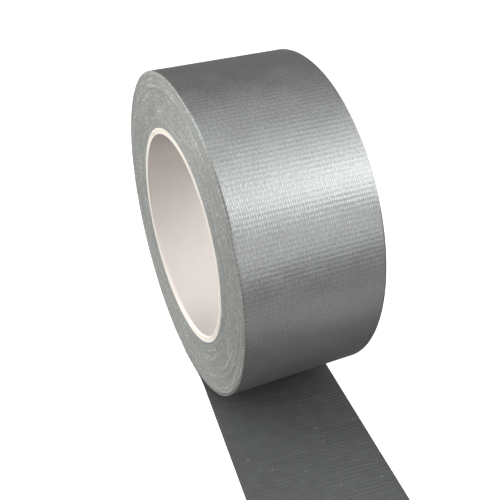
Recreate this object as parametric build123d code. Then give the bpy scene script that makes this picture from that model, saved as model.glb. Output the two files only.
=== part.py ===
from build123d import *
import os
from math import atan, cos, degrees, pi, radians, sin, tan

# A roll of cloth-backed repair tape on a paper core. It stands on its rim, with a short tail
# drawn off under it and laid flat on the ground.
# Frame: origin at the middle of the core's bore, +Y along the bore, +Z up, and +X the way the
# tail runs. Millimetres.

# Driving dimensions: the roll.
tape_width = 50.0
roll_radius = 60.0
bore_radius = 38.0
liner_thickness = 0.45
board_thickness = 0.40
board_ply_count = 3

# The tape's layers, from the sticky side out to the backing.
adhesive_thickness = 0.08
warp_thickness = 0.05
weft_thickness = 0.05
film_thickness = 0.07

# The cloth's yarns: warp runs along the tape, weft runs across it.
warp_pitch = 0.75
warp_yarn_width = 0.30
weft_pitch = 1.57
weft_yarn_width = 0.60

# The tail: a lead that hugs the roll and turns flat, then plates hinged across the tape.
tail_gap = 0.15
lead_wrap_degrees = 12.0
lead_length = 10.0
plate_length = 20.0
plate_count = 5
tail_length = 115.0
tail_skew_degrees = 7.2
plate_slit = 0.04
smallest_yarn_piece = 0.02

# Worked out from them.
half_width = tape_width / 2
strip_radius = roll_radius + tail_gap
skew = radians(tail_skew_degrees)
turn_thickness = adhesive_thickness + warp_thickness + weft_thickness + film_thickness

# Each tail layer lies between two distances from the roll's axis.
adhesive_band = (strip_radius, strip_radius + adhesive_thickness)
warp_band = (adhesive_band[1], adhesive_band[1] + warp_thickness)
weft_band = (warp_band[1], warp_band[1] + weft_thickness)
film_band = (weft_band[1], weft_band[1] + film_thickness)

ground_z = -film_band[1]
plate_tangent_reach = plate_length / 2
curl_limit_degrees = 2 * degrees(atan(plate_tangent_reach / strip_radius))


def tube(inner_radius, outer_radius):
    """A tube about the Y axis, as wide as the tape."""
    outside = Cylinder(outer_radius, tape_width, rotation=(90, 0, 0))
    inside = Cylinder(inner_radius, tape_width, rotation=(90, 0, 0))
    return outside - inside


def core_plies():
    """The paper core's plies, from the bore out, as node name and solid."""
    plies = []
    radius = bore_radius
    plies.append(("core_inner_liner", tube(radius, radius + liner_thickness)))
    radius += liner_thickness
    for number in range(1, board_ply_count + 1):
        plies.append((f"core_board_ply_{number}", tube(radius, radius + board_thickness)))
        radius += board_thickness
    plies.append(("core_outer_liner", tube(radius, radius + liner_thickness)))
    return plies, radius + liner_thickness


def wound_tape(core_outer_radius):
    """The wound turns, and the layers of the outermost turn that wraps them."""
    outer_turn_radius = roll_radius - turn_thickness
    cloth_radius = outer_turn_radius + adhesive_thickness
    film_radius = roll_radius - film_thickness
    return [
        ("wound_turns", tube(core_outer_radius, outer_turn_radius)),
        ("outer_turn_adhesive", tube(outer_turn_radius, cloth_radius)),
        ("outer_turn_scrim", tube(cloth_radius, film_radius)),
        ("outer_turn_film", tube(film_radius, roll_radius)),
    ]


def across(profile, low_y, high_y):
    """Carries an X-Z profile across the tape from low_y to high_y."""
    solid = extrude(profile, amount=(high_y - low_y) / 2, both=True)
    return Pos(0, (low_y + high_y) / 2, 0) * solid


def arc_profile(band, start_degrees, end_degrees):
    """A stretch of a layer on the roll; degrees count back from the lowest line."""
    low_angle = 270 - end_degrees
    sweep = end_degrees - start_degrees
    near = CenterArc((0, 0), band[0], low_angle, sweep)
    far = CenterArc((0, 0), band[1], low_angle, sweep)
    ends = [Line(near @ 0, far @ 0), Line(near @ 1, far @ 1)]
    return Plane.XZ * make_face([near, far] + ends)


def lead_profile(band, end_x):
    """A layer of the lead: round the roll, then flat along the ground to end_x."""
    low_angle = 270 - lead_wrap_degrees
    near = CenterArc((0, 0), band[0], low_angle, lead_wrap_degrees)
    far = CenterArc((0, 0), band[1], low_angle, lead_wrap_degrees)
    top = Line((0, -band[0]), (end_x, -band[0]))
    end = Line((end_x, -band[0]), (end_x, -band[1]))
    bottom = Line((end_x, -band[1]), (0, -band[1]))
    back = Line(far @ 0, near @ 0)
    return Plane.XZ * make_face([near, top, end, bottom, far, back])


def warp_places():
    """Distances of the warp yarns from the tape's middle line."""
    count = int((tape_width - warp_yarn_width) / warp_pitch)
    return [(place - (count - 1) / 2) * warp_pitch for place in range(count)]


def lead_layers():
    """The lead's four layers."""
    end_x = lead_length - plate_slit / 2
    warp_profile = lead_profile(warp_band, end_x)
    warp = []
    for place in warp_places():
        warp.append(across(warp_profile, place - warp_yarn_width / 2, place + warp_yarn_width / 2))
    weft = []
    flat_count = int(lead_length / weft_pitch)
    for place in range(flat_count):
        middle_x = (place + 0.5) * weft_pitch
        box = Box(weft_yarn_width, tape_width, weft_thickness)
        weft.append(Pos(middle_x, 0, -sum(weft_band) / 2) * box)
    pitch_degrees = degrees(weft_pitch / weft_band[0])
    yarn_degrees = degrees(weft_yarn_width / weft_band[0])
    for place in range(int(lead_wrap_degrees / pitch_degrees)):
        middle = (place + 0.5) * pitch_degrees
        profile = arc_profile(weft_band, middle - yarn_degrees / 2, middle + yarn_degrees / 2)
        weft.append(across(profile, -half_width, half_width))
    return {
        "film": across(lead_profile(film_band, end_x), -half_width, half_width),
        "weft": Compound(children=weft),
        "warp": Compound(children=warp),
        "adhesive": across(lead_profile(adhesive_band, end_x), -half_width, half_width),
    }


def middle_y(x):
    """Where the tail's middle line runs, past the lead."""
    return -tan(skew) * (x - lead_length)


def end_point(offset):
    """A point of the tail's cut end, offset across the tape from its middle line."""
    return (tail_length + offset * sin(skew), middle_y(tail_length) + offset * cos(skew))


def flat_layer(corners, band):
    """A flat layer with the corners given, between two distances below the axis."""
    outline = make_face(Polyline(*corners, close=True))
    return Pos(0, 0, -band[1]) * extrude(outline, amount=band[1] - band[0], dir=(0, 0, 1))


def plate_corners(low_x, high_x, low_offset, high_offset, is_last):
    """Corners of a strip of one plate, between two offsets from the tape's middle line."""
    low = low_offset / cos(skew)
    high = high_offset / cos(skew)
    corners = [(low_x, middle_y(low_x) + high), (low_x, middle_y(low_x) + low)]
    if is_last:
        return corners + [end_point(low_offset), end_point(high_offset)]
    return corners + [(high_x, middle_y(high_x) + low), (high_x, middle_y(high_x) + high)]


def plate_weft(outline, low_x, high_x):
    """Weft yarns across one plate, cut where its edges cross them."""
    yarns = []
    spare = tape_width * sin(skew)
    first = int((low_x - lead_length - spare) / weft_pitch)
    last = int((high_x - lead_length + spare) / weft_pitch) + 1
    for place in range(max(first, -2), last):
        along = (place + 0.5) * weft_pitch
        middle = (lead_length + along * cos(skew), -along * sin(skew))
        box = Rot(0, 0, -tail_skew_degrees) * Box(weft_yarn_width, tape_width, weft_thickness)
        yarn = Pos(middle[0], middle[1], -sum(weft_band) / 2) * box
        cut = outline & yarn
        if cut is not None:
            yarns += [solid for solid in cut.solids() if solid.volume > smallest_yarn_piece]
    return Compound(children=yarns)


def plate_layers(number):
    """The four layers of one plate of the tail, counted from 1."""
    is_last = number == plate_count
    low_x = lead_length + (number - 1) * plate_length + plate_slit / 2
    high_x = tail_length if is_last else lead_length + number * plate_length - plate_slit / 2
    corners = plate_corners(low_x, high_x, -half_width, half_width, is_last)
    warp = []
    for place in warp_places():
        low = place - warp_yarn_width / 2
        yarn_corners = plate_corners(low_x, high_x, low, low + warp_yarn_width, is_last)
        warp.append(flat_layer(yarn_corners, warp_band))
    return {
        "film": flat_layer(corners, film_band),
        "weft": plate_weft(flat_layer(corners, weft_band), low_x, high_x),
        "warp": Compound(children=warp),
        "adhesive": flat_layer(corners, adhesive_band),
    }


def build():
    """Every node's name and shape."""
    nodes, core_outer_radius = core_plies()
    nodes += wound_tape(core_outer_radius)
    for layer, shape in lead_layers().items():
        nodes.append((f"tail_lead_{layer}", shape))
    for number in range(1, plate_count + 1):
        for layer, shape in plate_layers(number).items():
            nodes.append((f"tail_{number}_{layer}", shape))
    return nodes


os.makedirs("parts", exist_ok=True)
for node_name, node_shape in build():
    export_step(node_shape, f"parts/{node_name}.step")
core_wall = 2 * liner_thickness + board_ply_count * board_thickness
turn_count = (roll_radius - bore_radius - core_wall) / turn_thickness
mean_turn = pi * (roll_radius + bore_radius + core_wall)
print("turns", round(turn_count), "tape length m", round(turn_count * mean_turn / 1000, 1))
print("ground z", round(ground_z, 3), "curl limit degrees", round(curl_limit_degrees, 2))
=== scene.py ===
import random
from math import atan2, cos, floor, pi, radians, sin, sqrt, tan

import bmesh
import bpy
from mathutils import Matrix, Vector, noise


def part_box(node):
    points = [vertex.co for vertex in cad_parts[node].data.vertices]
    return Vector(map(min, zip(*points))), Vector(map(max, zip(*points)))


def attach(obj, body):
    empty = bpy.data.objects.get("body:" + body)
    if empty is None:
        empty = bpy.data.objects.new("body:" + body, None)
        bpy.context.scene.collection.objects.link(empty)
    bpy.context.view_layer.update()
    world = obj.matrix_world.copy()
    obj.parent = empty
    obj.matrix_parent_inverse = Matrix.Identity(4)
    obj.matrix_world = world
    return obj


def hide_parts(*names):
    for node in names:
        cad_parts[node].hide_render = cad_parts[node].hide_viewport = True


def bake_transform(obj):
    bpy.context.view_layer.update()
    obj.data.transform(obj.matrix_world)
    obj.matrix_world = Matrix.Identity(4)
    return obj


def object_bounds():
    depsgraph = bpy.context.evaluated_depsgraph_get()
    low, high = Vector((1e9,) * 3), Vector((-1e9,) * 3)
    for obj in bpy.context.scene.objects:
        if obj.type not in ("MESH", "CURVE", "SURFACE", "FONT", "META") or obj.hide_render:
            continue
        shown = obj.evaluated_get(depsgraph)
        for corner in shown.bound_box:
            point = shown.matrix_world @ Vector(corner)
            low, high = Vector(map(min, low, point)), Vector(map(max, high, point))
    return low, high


# A roll of cloth tape on a paper core, stood on its rim with a tail drawn off under it.
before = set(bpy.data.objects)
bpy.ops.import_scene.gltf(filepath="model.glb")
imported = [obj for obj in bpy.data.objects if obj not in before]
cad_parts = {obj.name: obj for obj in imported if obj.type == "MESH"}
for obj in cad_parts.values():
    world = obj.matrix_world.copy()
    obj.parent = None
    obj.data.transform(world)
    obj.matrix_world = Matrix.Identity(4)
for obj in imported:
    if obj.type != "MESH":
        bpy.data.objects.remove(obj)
cadLow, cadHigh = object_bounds()
mm = 0.001

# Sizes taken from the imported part, in metres.
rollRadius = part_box("outer_turn_film")[1].z
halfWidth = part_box("outer_turn_film")[1].y
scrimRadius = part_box("outer_turn_scrim")[1].z
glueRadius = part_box("outer_turn_adhesive")[1].z
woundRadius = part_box("wound_turns")[1].z
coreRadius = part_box("core_outer_liner")[1].z
groundZ = cadLow.z
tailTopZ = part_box("tail_1_adhesive")[1].z
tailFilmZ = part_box("tail_1_film")[1].z
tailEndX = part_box("tail_5_film")[1].x

# The cloth in the tape: weft yarns lie across it and warp yarns run along it.
cloth = {"weftCount": 240, "warpPitch": 0.75 * mm}
weftPitch = 2 * pi * rollRadius / cloth["weftCount"]

creaseAngle = radians(50)   # edges sharper than this are kept sharp


def smoothStep(low, high, value):
    share = min(max((value - low) / (high - low), 0.0), 1.0)
    return share * share * (3 - 2 * share)


def linearColour(hexColour):
    channels = [int(hexColour[i:i + 2], 16) / 255 for i in (1, 3, 5)]
    return [c / 12.92 if c <= 0.04045 else ((c + 0.055) / 1.055) ** 2.4 for c in channels] + [1.0]


def addNode(tree, kind, settings=None, links=None):
    node = tree.nodes.new(kind)
    for name, value in (settings or {}).items():
        if isinstance(name, str) and hasattr(node, name):
            setattr(node, name, value)
        else:
            node.inputs[name].default_value = value
    for socket, source in (links or {}).items():
        tree.links.new(source, node.inputs[socket])
    return node


def newMaterial(name):
    material = bpy.data.materials.new(name)
    material.use_nodes = True
    material.node_tree.nodes.clear()
    return material, material.node_tree


def newPiece(name, mesh, material):
    for face in mesh.faces:
        face.smooth = True
    for edge in mesh.edges:
        if edge.is_manifold and edge.calc_face_angle() > creaseAngle:
            edge.smooth = False
    data = bpy.data.meshes.new(name)
    mesh.to_mesh(data)
    mesh.free()
    data.materials.append(material)
    piece = bpy.data.objects.new(name, data)
    bpy.context.scene.collection.objects.link(piece)
    return piece


def fitPiece(piece, nodes, body=None):
    if nodes:
        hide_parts(*nodes)
    if body:
        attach(piece, body)


camera = {
    "azimuth": radians(67.75),
    "elevation": radians(30.16),
    "roll": radians(-2.96),
    "lens": 53.0,
    "place": (0.2287, -0.0911, 0.1304),
}


def makeCamera():
    turn, rise, roll = camera["azimuth"], camera["elevation"], camera["roll"]
    back = Vector((sin(turn) * cos(rise), -cos(turn) * cos(rise), sin(rise)))
    right = Vector((cos(turn), sin(turn), 0))
    up = back.cross(right)
    tiltedRight = right * cos(roll) + up * sin(roll)
    tiltedUp = up * cos(roll) - right * sin(roll)
    data = bpy.data.cameras.new("camera")
    data.lens = camera["lens"]
    data.sensor_width = 36.0
    data.clip_start = 0.01
    data.clip_end = 20.0
    seen = bpy.data.objects.new("camera", data)
    bpy.context.scene.collection.objects.link(seen)
    axes = Matrix((tiltedRight, tiltedUp, back)).transposed().to_4x4()
    seen.matrix_world = Matrix.Translation(camera["place"]) @ axes
    bpy.context.scene.camera = seen
    bpy.context.scene.view_settings.view_transform = "Standard"


makeCamera()
print("camera is in place")

stage = {
    "floorSize": 6.0,
    "floorColour": "#cfcfcd",
    "glowColour": "#ffffff",
    "floorGlow": 0.84,
    "wallRadius": 2.8,
    "wallHeight": 2.5,
    "worldColour": "#f5f5f2",
    "worldStrength": 0.12,
}
# Each softbox: name, bearing round from +X to +Y and height over the floor in degrees, upright and
# level size in metres, and brightness. All stand the same distance off and face the roll.
softboxDistance = 0.95
softboxes = [
    ("front_main", 40, 35, 0.35, 0.40, 5.0),
    ("front_side", 15, 35, 0.35, 0.40, 2.0),
    ("front_low", -15, 15, 0.15, 0.40, 4.0),
    ("front_low_far", 65, 15, 0.15, 0.40, 4.0),
    ("front_strip", 15, 5, 0.25, 1.00, 2.0),
    ("front_high", 30, 60, 0.30, 0.80, 2.0),
    ("overhead", 180, 85, 0.45, 0.90, 1.0),
    ("near_side", -100, 15, 0.40, 0.45, 6.0),
    ("near_side_back", -130, 15, 0.40, 0.45, 12.0),
    ("near_high", -90, 70, 0.40, 0.50, 3.0),
    ("far_side", 75, 30, 0.50, 0.90, 2.0),
    ("bounce_card", 10, -40, 0.50, 0.90, 0.6),
]


def makeFloor():
    mesh = bmesh.new()
    bmesh.ops.create_grid(mesh, x_segments=8, y_segments=8, size=stage["floorSize"] / 2)
    bmesh.ops.translate(mesh, verts=mesh.verts, vec=(0, 0, groundZ))
    material, tree = newMaterial("painted_studio_floor")
    shader = addNode(tree, "ShaderNodeBsdfPrincipled", {
        "Base Color": linearColour(stage["floorColour"]), "Roughness": 0.9,
        "Emission Color": linearColour(stage["glowColour"]), "Emission Strength": stage["floorGlow"]})
    addNode(tree, "ShaderNodeOutputMaterial", links={"Surface": shader.outputs["BSDF"]})
    floorPiece = newPiece("studio_floor", mesh, material)
    floorPiece.visible_diffuse = False   # keeps the pale floor's light off the underside
    floorPiece.visible_glossy = False
    floorPiece.visible_shadow = False    # lets the bounce card under it light the roll
    mesh = bmesh.new()   # a plain wall all round, so that the ground has no far edge
    bmesh.ops.create_cone(mesh, cap_ends=False, segments=96, radius1=stage["wallRadius"],
                          radius2=stage["wallRadius"], depth=stage["wallHeight"])
    bmesh.ops.translate(mesh, verts=mesh.verts, vec=(0, 0, groundZ + stage["wallHeight"] / 2))
    wallPiece = newPiece("studio_wall", mesh, material)
    wallPiece.visible_diffuse = wallPiece.visible_glossy = wallPiece.visible_shadow = False


def makeWorld():
    world = bpy.data.worlds.new("studio")
    world.use_nodes = True
    world.node_tree.nodes.clear()
    glow = addNode(world.node_tree, "ShaderNodeBackground", {
        "Color": linearColour(stage["worldColour"]), "Strength": stage["worldStrength"]})
    addNode(world.node_tree, "ShaderNodeOutputWorld", links={"Surface": glow.outputs["Background"]})
    bpy.context.scene.world = world


def makeSoftbox(name, bearing, height, upright, level, bright):
    data = bpy.data.lights.new(name, "AREA")
    data.shape = "RECTANGLE"
    data.size, data.size_y = upright, level
    data.energy = bright * pi * upright * level
    lamp = bpy.data.objects.new(name, data)
    bpy.context.scene.collection.objects.link(lamp)
    turn, rise = radians(bearing), radians(height)
    back = Vector((cos(turn) * cos(rise), sin(turn) * cos(rise), sin(rise)))
    across = Vector((0, 0, 1)).cross(back).normalized()
    axes = Matrix((back.cross(across), -across, back)).transposed().to_4x4()
    lamp.matrix_world = Matrix.Translation(back * softboxDistance) @ axes


makeFloor()
makeWorld()
for softbox in softboxes:
    makeSoftbox(*softbox)
print("floor and light are in place")

# Names that end in PerMm count how often a pattern repeats in a millimetre.
weave = {"pinch": 0.35, "unevenPerMm": (0.85, 1.33, 1.0), "thin": 0.36, "full": 0.64}


def weaveNodes(tree):
    # Warp yarns as ridges along the tape, pinched where a weft yarn crosses and uneven as spun yarn is.
    place = addNode(tree, "ShaderNodeUVMap", {"uv_map": "tape"})
    parts = addNode(tree, "ShaderNodeSeparateXYZ", links={0: place.outputs["UV"]})
    weftTurn = addNode(tree, "ShaderNodeMath", {"operation": "MULTIPLY", 1: 2 * pi * mm / weftPitch},
                       {0: parts.outputs[0]})
    warpTurn = addNode(tree, "ShaderNodeMath",
                       {"operation": "MULTIPLY", 1: 2 * pi * mm / cloth["warpPitch"]}, {0: parts.outputs[1]})
    weft = addNode(tree, "ShaderNodeMath", {"operation": "COSINE"}, {0: weftTurn.outputs[0]})
    warp = addNode(tree, "ShaderNodeMath", {"operation": "COSINE"}, {0: warpTurn.outputs[0]})
    ridge = addNode(tree, "ShaderNodeMapRange", {1: -1.0, 2: 1.0, 3: 1.0, 4: 0.0}, {0: warp.outputs[0]})
    stretched = addNode(tree, "ShaderNodeMapping", {"Scale": weave["unevenPerMm"]},
                        {"Vector": place.outputs["UV"]})
    uneven = addNode(tree, "ShaderNodeTexNoise", {"Scale": 1.0, "Detail": 1.0},
                     {"Vector": stretched.outputs[0]})
    fullness = addNode(tree, "ShaderNodeMapRange", {1: weave["thin"], 2: weave["full"], 3: 0.0, 4: 1.0},
                       {0: uneven.outputs[0]})
    pinched = addNode(tree, "ShaderNodeMath", {"operation": "MULTIPLY_ADD", 1: -weave["pinch"]},
                      {0: weft.outputs[0], 2: fullness.outputs[0]})
    return addNode(tree, "ShaderNodeMath", {"operation": "MULTIPLY"},
                   {0: ridge.outputs[0], 1: pinched.outputs[0]})


def specks(tree, place, size, spread, rarity):
    # Dust and lint: a dot of that size in some of the cells, both in millimetres.
    cells = addNode(tree, "ShaderNodeTexVoronoi", {"Scale": 1.0 / spread}, {"Vector": place})
    dot = addNode(tree, "ShaderNodeMapRange", {1: size / spread, 2: 0.5 * size / spread, 3: 0.0, 4: 1.0},
                  {0: cells.outputs["Distance"]})
    chosen = addNode(tree, "ShaderNodeSeparateXYZ", links={0: cells.outputs["Color"]})
    kept = addNode(tree, "ShaderNodeMath", {"operation": "GREATER_THAN", 1: rarity}, {0: chosen.outputs[0]})
    return addNode(tree, "ShaderNodeMath", {"operation": "MULTIPLY"}, {0: dot.outputs[0], 1: kept.outputs[0]})


def rampOf(tree, source, low, high, dark, light):
    ramp = addNode(tree, "ShaderNodeValToRGB", links={0: source})
    for element, position, colour in zip(ramp.color_ramp.elements, (low, high), (dark, light)):
        element.position = position
        element.color = linearColour(colour)
    return ramp


# The valley colour is painted shade for the low places of the weave.
filmFinish = {"dark": "#a5a7a5", "light": "#aeb0ae", "valleyShade": "#dfe0e0", "peak": "#ffffff",
              "metallic": 0.75, "roughness": 0.39, "roughSpread": 0.03, "cloudPerMm": 0.12,
              "grainPerMm": 1.9, "yarnDepth": 0.028 * mm, "grainDepth": 0.006 * mm}


def filmMaterial():
    # Low-density polyethylene film with aluminium pigment, pressed onto the cloth: a satin,
    # half-metallic grey that shows the yarns under it, with painted shade in the valleys between them.
    material, tree = newMaterial("pressed_polyethylene_film")
    yarns = weaveNodes(tree)
    place = addNode(tree, "ShaderNodeTexCoord")
    cloudy = addNode(tree, "ShaderNodeTexNoise",
                     {"Scale": filmFinish["cloudPerMm"] / mm, "Detail": 4.0, "Roughness": 0.55},
                     {"Vector": place.outputs["Object"]})
    grain = addNode(tree, "ShaderNodeTexNoise", {"Scale": filmFinish["grainPerMm"] / mm, "Detail": 2.0},
                    {"Vector": place.outputs["Object"]})
    colour = rampOf(tree, cloudy.outputs[0], 0.3, 0.7, filmFinish["dark"], filmFinish["light"])
    # Painted shade: the colour is multiplied darker in the valleys between the warp ridges.
    valleyShadeTint = addNode(tree, "ShaderNodeMix", {"data_type": "RGBA", "blend_type": "MULTIPLY", 0: 1.0},
                       {6: colour.outputs[0]})
    shade = rampOf(tree, yarns.outputs[0], 0.0, 1.0, filmFinish["valleyShade"], filmFinish["peak"])
    tree.links.new(shade.outputs[0], valleyShadeTint.inputs[7])
    smoothest = filmFinish["roughness"] - filmFinish["roughSpread"]
    roughest = filmFinish["roughness"] + filmFinish["roughSpread"]
    rough = addNode(tree, "ShaderNodeMapRange", {1: 0.3, 2: 0.7, 3: smoothest, 4: roughest},
                    {0: cloudy.outputs[0]})
    weaveBump = addNode(tree, "ShaderNodeBump", {"Strength": 1.0, "Distance": filmFinish["yarnDepth"]},
                        {"Height": yarns.outputs[0]})
    grainBump = addNode(tree, "ShaderNodeBump", {"Strength": 1.0, "Distance": filmFinish["grainDepth"]},
                        {"Height": grain.outputs[0], "Normal": weaveBump.outputs[0]})
    shader = addNode(tree, "ShaderNodeBsdfPrincipled", {
        "Metallic": filmFinish["metallic"], "IOR": 1.5},
        {"Base Color": valleyShadeTint.outputs[2], "Roughness": rough.outputs[0], "Normal": grainBump.outputs[0]})
    addNode(tree, "ShaderNodeOutputMaterial", links={"Surface": shader.outputs["BSDF"]})
    return material


glueFinish = {"dark": "#4f5150", "light": "#595b5a", "lint": "#aeb0ad", "roughness": 0.30, "cloudPerMm": 0.22,
              "grainPerMm": 2.6, "grainDepth": 0.012 * mm, "lintSize": 0.27, "lintSpread": 3.4,
              "lintRarity": 0.6}


def glueMaterial():
    # Natural-rubber adhesive calendered onto the cloth: dark grey, slightly shiny, with lint stuck to it.
    material, tree = newMaterial("calendered_rubber_adhesive")
    place = addNode(tree, "ShaderNodeUVMap", {"uv_map": "tape"})
    cloudy = addNode(tree, "ShaderNodeTexNoise",
                     {"Scale": glueFinish["cloudPerMm"], "Detail": 5.0, "Roughness": 0.6},
                     {"Vector": place.outputs["UV"]})
    grain = addNode(tree, "ShaderNodeTexNoise", {"Scale": glueFinish["grainPerMm"], "Detail": 3.0},
                    {"Vector": place.outputs["UV"]})
    colour = rampOf(tree, cloudy.outputs[0], 0.3, 0.7, glueFinish["dark"], glueFinish["light"])
    lint = specks(tree, place.outputs["UV"], glueFinish["lintSize"], glueFinish["lintSpread"],
                  glueFinish["lintRarity"])
    speckled = addNode(tree, "ShaderNodeMix", {"data_type": "RGBA", 7: linearColour(glueFinish["lint"])},
                       {0: lint.outputs[0], 6: colour.outputs[0]})
    grainBump = addNode(tree, "ShaderNodeBump", {"Strength": 1.0, "Distance": glueFinish["grainDepth"]},
                        {"Height": grain.outputs[0]})
    shader = addNode(tree, "ShaderNodeBsdfPrincipled", {"Roughness": glueFinish["roughness"], "IOR": 1.52},
                     {"Base Color": speckled.outputs[2], "Normal": grainBump.outputs[0]})
    addNode(tree, "ShaderNodeOutputMaterial", links={"Surface": shader.outputs["BSDF"]})
    return material


# Each pattern on the side: how coarse it is round the axis, how often it repeats in a millimetre of
# radius, and its detail.
# The sunk colour is painted shade for the recess of the last turns along the front.
woundFinish = {"dark": "#7f827f", "light": "#9b9d99", "fleck": "#cfcfcb", "recessShade": "#4a4d4b",
               "roughness": 0.58, "streakDepth": 0.03 * mm, "bandShare": 0.55,
               "bands": (1.6, 0.45, 3.0), "streaks": (14.0, 2.6, 2.0), "flecks": (55.0, 2.6, 1.0),
               "richness": (3.0, 0.9, 2.0), "fleckFrom": 1.12, "fleckFull": 1.30, "fleckMost": 0.85,
               "recessShadeInner": 0.65 * mm, "recessShadeOuter": 0.35 * mm, "recessShadeMost": 0.85}


def woundMaterial():
    # The slit side of the wound tape: film, cloth and adhesive edges packed together, with the cut
    # ends of the weft yarns as light flecks. Noise is read round the axis, so it has no seam.
    material, tree = newMaterial("slit_tape_edges")
    place = addNode(tree, "ShaderNodeTexCoord")
    parts = addNode(tree, "ShaderNodeSeparateXYZ", links={0: place.outputs["Object"]})
    flat = addNode(tree, "ShaderNodeCombineXYZ", links={0: parts.outputs[0], 1: parts.outputs[2]})
    radius = addNode(tree, "ShaderNodeVectorMath", {"operation": "LENGTH"}, {0: flat.outputs[0]})
    around = addNode(tree, "ShaderNodeVectorMath", {"operation": "NORMALIZE"}, {0: flat.outputs[0]})
    ways = addNode(tree, "ShaderNodeSeparateXYZ", links={0: around.outputs[0]})

    def ringNoise(perTurn, perMm, detail):
        across = addNode(tree, "ShaderNodeMath", {"operation": "MULTIPLY", 1: perTurn}, {0: ways.outputs[0]})
        upright = addNode(tree, "ShaderNodeMath", {"operation": "MULTIPLY", 1: perTurn}, {0: ways.outputs[1]})
        outwards = addNode(tree, "ShaderNodeMath", {"operation": "MULTIPLY_ADD", 1: perMm / mm, 2: 3.0},
                           {0: radius.outputs["Value"]})
        spot = addNode(tree, "ShaderNodeCombineXYZ",
                       links={0: across.outputs[0], 1: upright.outputs[0], 2: outwards.outputs[0]})
        return addNode(tree, "ShaderNodeTexNoise", {"Scale": 1.0, "Detail": detail, "Roughness": 0.6},
                       {"Vector": spot.outputs[0]})

    bands = ringNoise(*woundFinish["bands"])
    streaks = ringNoise(*woundFinish["streaks"])
    flecks = ringNoise(*woundFinish["flecks"])
    richness = ringNoise(*woundFinish["richness"])
    mixed = addNode(tree, "ShaderNodeMath", {"operation": "MULTIPLY_ADD", 1: woundFinish["bandShare"]},
                    {0: bands.outputs[0], 2: streaks.outputs[0]})
    colour = rampOf(tree, mixed.outputs[0], 0.55, 1.0, woundFinish["dark"], woundFinish["light"])
    rich = addNode(tree, "ShaderNodeMath", {"operation": "ADD"},
                   {0: richness.outputs[0], 1: flecks.outputs[0]})
    fleck = addNode(tree, "ShaderNodeMapRange", {1: woundFinish["fleckFrom"], 2: woundFinish["fleckFull"],
                    3: 0.0, 4: woundFinish["fleckMost"]}, {0: rich.outputs[0]})
    flecked = addNode(tree, "ShaderNodeMix", {"data_type": "RGBA", 7: linearColour(woundFinish["fleck"])},
                      {0: fleck.outputs[0], 6: colour.outputs[0]})
    # The last turns sit a little deeper along the front; the dark band there is painted shade in that recess,
    # with a little of their adhesive edge.
    lastTurns = addNode(tree, "ShaderNodeMapRange", {1: woundRadius - woundFinish["recessShadeInner"],
                        2: woundRadius - woundFinish["recessShadeOuter"], 3: 0.0, 4: 1.0},
                        {0: radius.outputs["Value"]})
    front = addNode(tree, "ShaderNodeMapRange", {1: 0.35, 2: 0.85, 3: 0.0, 4: woundFinish["recessShadeMost"]},
                    {0: ways.outputs[0]})
    recessShade = addNode(tree, "ShaderNodeMath", {"operation": "MULTIPLY"},
                   {0: lastTurns.outputs[0], 1: front.outputs[0]})
    recessShaded = addNode(tree, "ShaderNodeMix", {"data_type": "RGBA", 7: linearColour(woundFinish["recessShade"])},
                    {0: recessShade.outputs[0], 6: flecked.outputs[2]})
    bump = addNode(tree, "ShaderNodeBump", {"Strength": 1.0, "Distance": woundFinish["streakDepth"]},
                   {"Height": streaks.outputs[0]})
    shader = addNode(tree, "ShaderNodeBsdfPrincipled", {"Roughness": woundFinish["roughness"], "IOR": 1.5},
                     {"Base Color": recessShaded.outputs[2], "Normal": bump.outputs[0]})
    addNode(tree, "ShaderNodeOutputMaterial", links={"Surface": shader.outputs["BSDF"]})
    return material


paperFinish = {"roughness": 0.85, "fibrePerMm": 0.9, "fibreDepth": 0.05 * mm, "fibreStrength": 0.4,
               "liner": ("#fbf5f1", "#f6efea"), "board": ("#f0ebdf", "#e7e0d0"),
               "yarn": ("#f0efe8", "#d2d1ca")}


def paperMaterial(name, light, dark):
    # Bleached paper, white core board and spun cotton: matt and fibrous, in a slightly warm white.
    material, tree = newMaterial(name)
    place = addNode(tree, "ShaderNodeTexCoord")
    fibres = addNode(tree, "ShaderNodeTexNoise",
                     {"Scale": paperFinish["fibrePerMm"] / mm, "Detail": 6.0, "Roughness": 0.7},
                     {"Vector": place.outputs["Object"]})
    colour = rampOf(tree, fibres.outputs[0], 0.3, 0.7, dark, light)
    bump = addNode(tree, "ShaderNodeBump",
                   {"Strength": paperFinish["fibreStrength"], "Distance": paperFinish["fibreDepth"]},
                   {"Height": fibres.outputs[0]})
    shader = addNode(tree, "ShaderNodeBsdfPrincipled", {"Roughness": paperFinish["roughness"], "IOR": 1.45},
                     {"Base Color": colour.outputs[0], "Normal": bump.outputs[0]})
    addNode(tree, "ShaderNodeOutputMaterial", links={"Surface": shader.outputs["BSDF"]})
    return material


film = filmMaterial()
glue = glueMaterial()
wound = woundMaterial()
linerPaper = paperMaterial("bleached_liner_paper", *paperFinish["liner"])
boardPaper = paperMaterial("white_core_board", *paperFinish["board"])
yarn = paperMaterial("spun_cotton_yarn", *paperFinish["yarn"])
print("finishes are mixed")


# The yarns under the film and the adhesive wander and swell as spun yarn does.
weftRelief = {"wander": 0.16, "wanderScale": 90.0, "level": 0.62, "slub": 0.75, "slubScale": 110.0,
              "pair": 0.10}
warpRelief = {"low": 0.75}


def weftHeight(along, across, spot):
    wander = weftRelief["wander"] * noise.noise(spot * weftRelief["wanderScale"])
    place = along / weftPitch + wander
    number = floor(place)
    bump = 0.5 - 0.5 * cos(2 * pi * (place - number))
    slub = noise.noise(Vector((number * 7.31, across * weftRelief["slubScale"], 0.4)))
    pair = 1.0 if number % 2 else -1.0
    return bump * (weftRelief["level"] + weftRelief["slub"] * slub + weftRelief["pair"] * pair)


def warpHeight(across):
    place = across / cloth["warpPitch"]
    number = floor(place)
    bump = 0.5 - 0.5 * cos(2 * pi * (place - number))
    return bump * (1.0 if number % 2 else warpRelief["low"])


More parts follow.
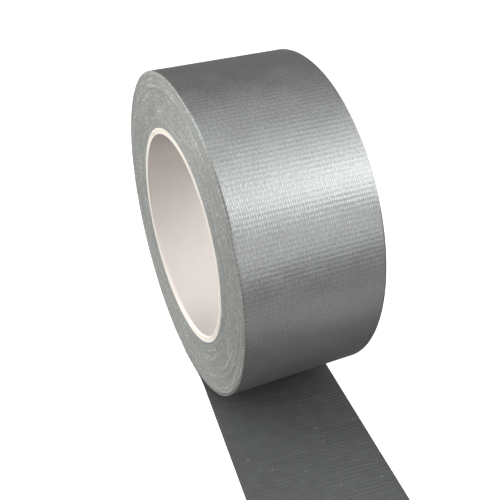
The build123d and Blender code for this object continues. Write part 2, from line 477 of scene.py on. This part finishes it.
def spinTube(profile, steps, sectors=24):
    # One sector is spun from the profile, then the rest are turned copies of it.
    mesh = bmesh.new()
    verts = [mesh.verts.new((0, y, radius)) for radius, y in profile]
    edges = [mesh.edges.new((verts[i - 1], verts[i])) for i in range(len(verts))]
    around = {"cent": (0, 0, 0), "axis": (0, 1, 0), "dvec": (0, 0, 0), "use_merge": False,
              "use_normal_flip": False}
    bmesh.ops.spin(mesh, geom=verts + edges, angle=2 * pi / sectors, steps=steps // sectors,
                   use_duplicate=False, **around)
    bmesh.ops.spin(mesh, geom=mesh.verts[:] + mesh.edges[:] + mesh.faces[:],
                   angle=2 * pi * (sectors - 1) / sectors, steps=sectors - 1, use_duplicate=True, **around)
    bmesh.ops.remove_doubles(mesh, verts=mesh.verts, dist=0.0005 * mm)
    bmesh.ops.recalc_face_normals(mesh, faces=mesh.faces)
    return mesh


def markTape(mesh, placeOf, wrap=None):
    # A UV map in millimetres along and across the tape; wrap is the way round, for a closed turn.
    layer = mesh.loops.layers.uv.new("tape")
    for face in mesh.faces:
        places = [placeOf(loop.vert) for loop in face.loops]
        high = max(place[0] for place in places)
        for loop, (along, across) in zip(face.loops, places):
            if wrap and high - along > wrap / 2:
                along += wrap
            loop[layer].uv = (along, across)


def angleOf(co):
    return atan2(co.x, co.z) % (2 * pi)


def turnPlace(vert):
    return angleOf(vert.co) * rollRadius / mm, vert.co.y / mm


tread = {"columns": 58, "samplesPerWeft": 6, "relief": 0.020 * mm, "edgeRound": 0.03 * mm,
         "calmEdge": 1.5 * mm}


def makeTread():
    profile = [(scrimRadius, -halfWidth), (rollRadius - tread["edgeRound"], -halfWidth)]
    for column in range(tread["columns"] + 1):
        share = column / tread["columns"]
        profile.append((rollRadius, (2 * share - 1) * (halfWidth - tread["edgeRound"])))
    profile += [(rollRadius - tread["edgeRound"], halfWidth), (scrimRadius, halfWidth)]
    mesh = spinTube(profile, cloth["weftCount"] * tread["samplesPerWeft"])
    top = rollRadius - tread["edgeRound"] / 2
    for vert in mesh.verts:
        radius = sqrt(vert.co.x ** 2 + vert.co.z ** 2)
        if radius > top:
            along = angleOf(vert.co) * rollRadius
            calm = smoothStep(0, tread["calmEdge"], halfWidth - abs(vert.co.y))
            lift = tread["relief"] * calm * (weftHeight(along, vert.co.y, vert.co) - 0.5)
            scale = 1 + lift / radius
            vert.co.x *= scale
            vert.co.z *= scale
    markTape(mesh, turnPlace, 2 * pi * rollRadius / mm)
    piece = newPiece("outer_turn_backing", mesh, film)
    fitPiece(piece, ["outer_turn_film"], "roll")


makeTread()
print("outermost turn is wound")

outerCloth = {"bulge": 0.05 * mm}


def makeOuterLayers():
    # The outermost turn's cloth, bulging at each yarn, and the adhesive under it.
    steps = cloth["weftCount"] * 2
    mesh = spinTube([(glueRadius, -halfWidth), (scrimRadius, -halfWidth),
                     (scrimRadius, halfWidth), (glueRadius, halfWidth)], steps)
    for vert in mesh.verts:
        number = round(angleOf(vert.co) / (2 * pi) * steps)
        vert.co.y *= 1 + outerCloth["bulge"] / halfWidth * (1 if number % 2 else -1)
    piece = newPiece("outer_turn_cloth", mesh, yarn)
    fitPiece(piece, ["outer_turn_scrim"], "roll")
    mesh = spinTube([(woundRadius, -halfWidth), (glueRadius, -halfWidth),
                     (glueRadius, halfWidth), (woundRadius, halfWidth)], cloth["weftCount"])
    markTape(mesh, turnPlace, 2 * pi * rollRadius / mm)
    piece = newPiece("outer_turn_glue", mesh, glue)
    fitPiece(piece, ["outer_turn_adhesive"], "roll")


makeOuterLayers()

windings = {"turnThickness": 0.25 * mm, "steps": 192, "ringShares": (0.0, 0.22, 0.78),
            "grooveShare": 0.1, "groove": 0.05 * mm,
            "turnShift": 0.05 * mm, "turnDrift": 3.7, "turnWaves": 1.5,
            "bandShift": 0.10 * mm, "bandDrift": 0.17, "bandWaves": 0.6,
            "outerRecess": 0.30 * mm, "recessTurns": 3.5}


def makeWindings():
    count = round((woundRadius - coreRadius) / windings["turnThickness"])
    pitch = (woundRadius - coreRadius) / count
    face = []
    for number in range(count):
        for share in windings["ringShares"]:
            face.append(coreRadius + (number + share) * pitch)
    face.append(woundRadius)
    profile = [(radius, -halfWidth) for radius in face] + [(radius, halfWidth) for radius in reversed(face)]
    mesh = spinTube(profile, windings["steps"])
    for vert in mesh.verts:
        side = 1 if vert.co.y > 0 else -1
        radius = sqrt(vert.co.x ** 2 + vert.co.z ** 2)
        place = (radius - coreRadius) / pitch + 0.001   # keeps a groove's own ring in its turn
        number = floor(place)
        isGroove = place - number < windings["grooveShare"]
        out = Vector((vert.co.x, 0, vert.co.z)) / radius
        # 5 and 9 only give each side its own noise.
        band = Vector((number * windings["bandDrift"], out.x * windings["bandWaves"] + 5 * side,
                       out.z * windings["bandWaves"]))
        turn = Vector((number * windings["turnDrift"], out.x * windings["turnWaves"] + 9 * side,
                       out.z * windings["turnWaves"]))
        shift = windings["bandShift"] * noise.noise(band) + windings["turnShift"] * noise.noise(turn)
        if isGroove:
            shift -= windings["groove"]
        slack = smoothStep(-0.1, 0.9, out.x)   # the outer turns have crept in along the front
        shift -= windings["outerRecess"] * slack * smoothStep(count - windings["recessTurns"], count, place)
        vert.co.y += side * shift
    piece = newPiece("wound_tape", mesh, wound)
    fitPiece(piece, ["wound_turns"], "roll")


makeWindings()
print("turns are wound")

yarnEnds = {"count": 620, "length": (0.35 * mm, 1.1 * mm), "radius": (0.03 * mm, 0.06 * mm),
            "rings": (0.16, 0.30, 0.47, 0.62, 0.80, 0.90), "ringSpread": 0.05, "taper": 0.4,
            "standOff": (0.02 * mm, 0.10 * mm), "turnSpread": 0.25, "leanMost": 0.35, "seed": 11}


def makeYarnEnds():
    # Cut ends of the cloth's yarns that stand out of the two slit sides.
    draw = random.Random(yarnEnds["seed"])
    for side, name in ((-1, "yarn_ends_near"), (1, "yarn_ends_far")):
        mesh = bmesh.new()
        for number in range(yarnEnds["count"]):
            angle = draw.uniform(0, 2 * pi)
            ring = draw.choice(yarnEnds["rings"]) + draw.gauss(0, yarnEnds["ringSpread"])
            radius = coreRadius + (woundRadius - coreRadius) * min(max(ring, 0.03), 0.97)
            length = draw.uniform(*yarnEnds["length"])
            thick = draw.uniform(*yarnEnds["radius"])
            made = bmesh.ops.create_cone(mesh, cap_ends=True, segments=5, radius1=thick,
                                         radius2=thick * yarnEnds["taper"], depth=length)
            lie = Matrix.Rotation(radians(90) + draw.gauss(0, yarnEnds["turnSpread"]), 4, "Y")
            lean = Matrix.Rotation(-side * draw.uniform(0.0, yarnEnds["leanMost"]), 4, "Z")
            place = Matrix.Rotation(angle, 4, "Y") @ Matrix.Translation(
                (0, side * (halfWidth + draw.uniform(*yarnEnds["standOff"])), radius))
            bmesh.ops.transform(mesh, matrix=place @ lean @ lie, verts=made["verts"])
        fitPiece(newPiece(name, mesh, yarn), [], "roll")


makeYarnEnds()
print("yarn ends are in place")

core = {"boreRadius": 38.0 * mm, "steps": 360, "chamfer": 0.06 * mm, "twist": 22.0, "seamSteps": 2.5,
        "seamDepth": 0.05 * mm, "rows": 24, "boardShifts": (-0.06 * mm, 0.03 * mm, -0.04 * mm),
        "wrapShift": 0.02 * mm}


def makePly(name, inner, outer, material, nodes, endShift):
    # Strips of paper wound in a helix: a shallow seam runs round the inside of each ply.
    bevel = core["chamfer"]
    near, far = -halfWidth - endShift, halfWidth + endShift
    profile = [(inner + bevel, near), (outer - bevel, near), (outer, near + bevel)]
    profile += [(outer, far - bevel), (outer - bevel, far), (inner + bevel, far), (inner, far - bevel)]
    for row in range(1, core["rows"]):
        profile.append((inner, far - bevel + (near - far + 2 * bevel) * row / core["rows"]))
    profile.append((inner, near + bevel))
    mesh = spinTube(profile, core["steps"])
    for vert in mesh.verts:
        turn = core["twist"] * vert.co.y
        isSeam = abs((angleOf(vert.co) + pi) % (2 * pi) - pi) < core["seamSteps"] * pi / core["steps"]
        radius = sqrt(vert.co.x ** 2 + vert.co.z ** 2)
        if isSeam and radius < inner + bevel / 2:
            radius += core["seamDepth"]
        angle = atan2(vert.co.x, vert.co.z) + turn
        vert.co.x, vert.co.z = radius * sin(angle), radius * cos(angle)
    piece = newPiece(name, mesh, material)
    fitPiece(piece, nodes, "roll")


def makeCore():
    radii = [core["boreRadius"]] + [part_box(node)[1].z for node in (
        "core_inner_liner", "core_board_ply_1", "core_board_ply_2", "core_board_ply_3", "core_outer_liner")]
    makePly("core_bore_liner", radii[0], radii[1], linerPaper, ["core_inner_liner"], 0.0)
    for number, shift in enumerate(core["boardShifts"], 1):
        makePly(f"core_board_{number}", radii[number], radii[number + 1], boardPaper,
                [f"core_board_ply_{number}"], shift)
    makePly("core_wrap_liner", radii[4], radii[5], linerPaper, ["core_outer_liner"],
            core["wrapShift"])


makeCore()
print("core is rolled")

tail = {
    "skew": radians(7.2),
    "bendEnd": 20 * mm,
    "endTurn": 20 * mm,
    "stops": (0.0, 20 * mm, 40 * mm, 60 * mm, 80 * mm),
    "blendLength": 20 * mm,
    "leadAngle": radians(12.0),
    "feather": 4 * mm,
    "featherGap": 0.02 * mm,
    "featherLeast": 0.02,
    "samplesPerWeft": 6,
    "clothColumns": 266,
    "filmColumns": 60,
    "clothRelief": 0.14 * mm,
    "weftShare": 0.8,
    "filmRelief": 0.03 * mm,
}
topRadius = -tailTopZ
splitRadius = -tailFilmZ
bottomRadius = -groundZ


def skewAt(x):
    return tail["skew"] * smoothStep(0, tail["bendEnd"], x)


def buildMiddle():
    # The tail's middle line, walked in small steps: its y and its length at each x.
    step = 0.25 * mm
    line = [(0.0, 0.0, 0.0)]
    x = y = length = 0.0
    while x < tailEndX + 5 * mm:
        slope = tan(skewAt(x + step / 2))
        x, y, length = x + step, y - slope * step, length + step * sqrt(1 + slope * slope)
        line.append((x, y, length))
    return step, line


middleStep, middleLine = buildMiddle()


def middleAt(x):
    if x <= 0:
        return 0.0, x
    place = x / middleStep
    number = min(int(place), len(middleLine) - 2)
    share = place - number
    here, there = middleLine[number], middleLine[number + 1]
    return here[1] + (there[1] - here[1]) * share, here[2] + (there[2] - here[2]) * share


def onStrip(x, y, radius):
    if x >= 0:
        return Vector((x, y, -radius))
    angle = -x / topRadius
    return Vector((-radius * sin(angle), y, -radius * cos(angle)))


def makeStrip(name, low, high, columns, bands, material, relief, isCloth, isEnd):
    rows = max(2, round((high - low) / weftPitch * tail["samplesPerWeft"]))
    mesh = bmesh.new()
    bmesh.ops.create_grid(mesh, x_segments=rows, y_segments=columns, size=0.5)
    under = set(mesh.verts)
    bmesh.ops.extrude_face_region(mesh, geom=mesh.faces[:])
    inner, outer = bands
    joinRadius = rollRadius + tail["featherGap"]
    uvPlace = {}
    for vert in mesh.verts:
        x = low + (high - low) * (vert.co.x + 0.5)
        offset = 2 * halfWidth * vert.co.y
        isTop = vert not in under
        skew = skewAt(x)
        if isEnd:   # the last row turns from square to x to square to the tape
            x += smoothStep(high - tail["endTurn"], high, x) * offset * sin(skew)
        centre, length = middleAt(x)
        y = centre + offset / cos(skew)
        along = length - offset * tan(skew)
        weft = weftHeight(along, offset, Vector((along, offset, 0.37)))
        if isCloth:
            height = relief * (tail["weftShare"] * weft + (1 - tail["weftShare"]) * warpHeight(offset) - 1.0)
            radius = inner - height if isTop else outer
        else:
            radius = inner if isTop else outer + relief * (min(weft, 1.0) - 1.0)
        if low < 0:   # thins to nothing where the strip joins the turn that it comes from
            thin = smoothStep(low - 0.5 * mm, low + tail["feather"], x)
            radius = joinRadius + (radius - joinRadius) * max(thin, tail["featherLeast"])
        vert.co = onStrip(x, y, radius)
        uvPlace[vert] = (along / mm, offset / mm)
    markTape(mesh, lambda vert: uvPlace[vert])
    bmesh.ops.recalc_face_normals(mesh, faces=mesh.faces)
    return newPiece(name, mesh, material)


def makeTail():
    lead = -tail["leadAngle"] * topRadius
    bodies = ["tail_lead"] + [f"tail_{number}" for number in range(1, 6)]
    lastX = tailEndX - halfWidth * sin(tail["skew"])
    for number, start in enumerate(tail["stops"]):
        low = lead if number == 0 else start
        isEnd = number == len(tail["stops"]) - 1
        high = lastX if isEnd else tail["stops"][number + 1]
        letter = "abcde"[number]
        owned = bodies[:2] if number == 0 else [bodies[number + 1]]
        filmPiece = makeStrip(f"tail_backing_{letter}", low, high, tail["filmColumns"],
                              (splitRadius, bottomRadius), film, tail["filmRelief"], False, isEnd)
        clothPiece = makeStrip(f"tail_cloth_{letter}", low, high, tail["clothColumns"],
                               (topRadius, splitRadius), glue, tail["clothRelief"], True, isEnd)
        fitPiece(filmPiece, [f"{body}_film" for body in owned])
        fitPiece(clothPiece, [f"{body}_{layer}" for body in owned
                                          for layer in ("adhesive", "warp", "weft")])
        for piece in (filmPiece, clothPiece):
            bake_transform(piece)


makeTail()
print("tail is laid")

fray = {"length": (0.3 * mm, 2.2 * mm), "radius": 0.06 * mm, "taper": 0.35, "rootLength": 0.4 * mm,
        "stray": 0.16, "lift": 0.06, "seed": 5}


def makeFray():
    # Warp yarns that stick out of the torn end.
    draw = random.Random(fray["seed"])
    mesh = bmesh.new()
    count = int(2 * halfWidth / cloth["warpPitch"])
    skew = tail["skew"]
    lastX = tailEndX - halfWidth * sin(skew)
    centre = middleAt(lastX)[0]
    z = (tailTopZ + tailFilmZ) / 2
    for number in range(count):
        offset = (number - (count - 1) / 2) * cloth["warpPitch"]
        length = fray["rootLength"] + draw.uniform(*fray["length"])
        made = bmesh.ops.create_cone(mesh, cap_ends=True, segments=6, radius1=fray["radius"],
                                     radius2=fray["radius"] * fray["taper"], depth=length)
        x = lastX + offset * sin(skew)
        y = centre - (x - lastX) * tan(skew) + offset / cos(skew)
        along = Matrix.Rotation(-skew + draw.gauss(0, fray["stray"]), 4, "Z") @ Matrix.Rotation(
            radians(90) - abs(draw.gauss(0, fray["lift"])), 4, "Y")
        shift = Matrix.Translation((0, 0, length / 2 - fray["rootLength"]))
        bmesh.ops.transform(mesh, matrix=Matrix.Translation((x, y, z)) @ along @ shift, verts=made["verts"])
    fitPiece(newPiece("tail_torn_yarns", mesh, yarn), [], "tail_5")


makeFray()
print("torn end is frayed")
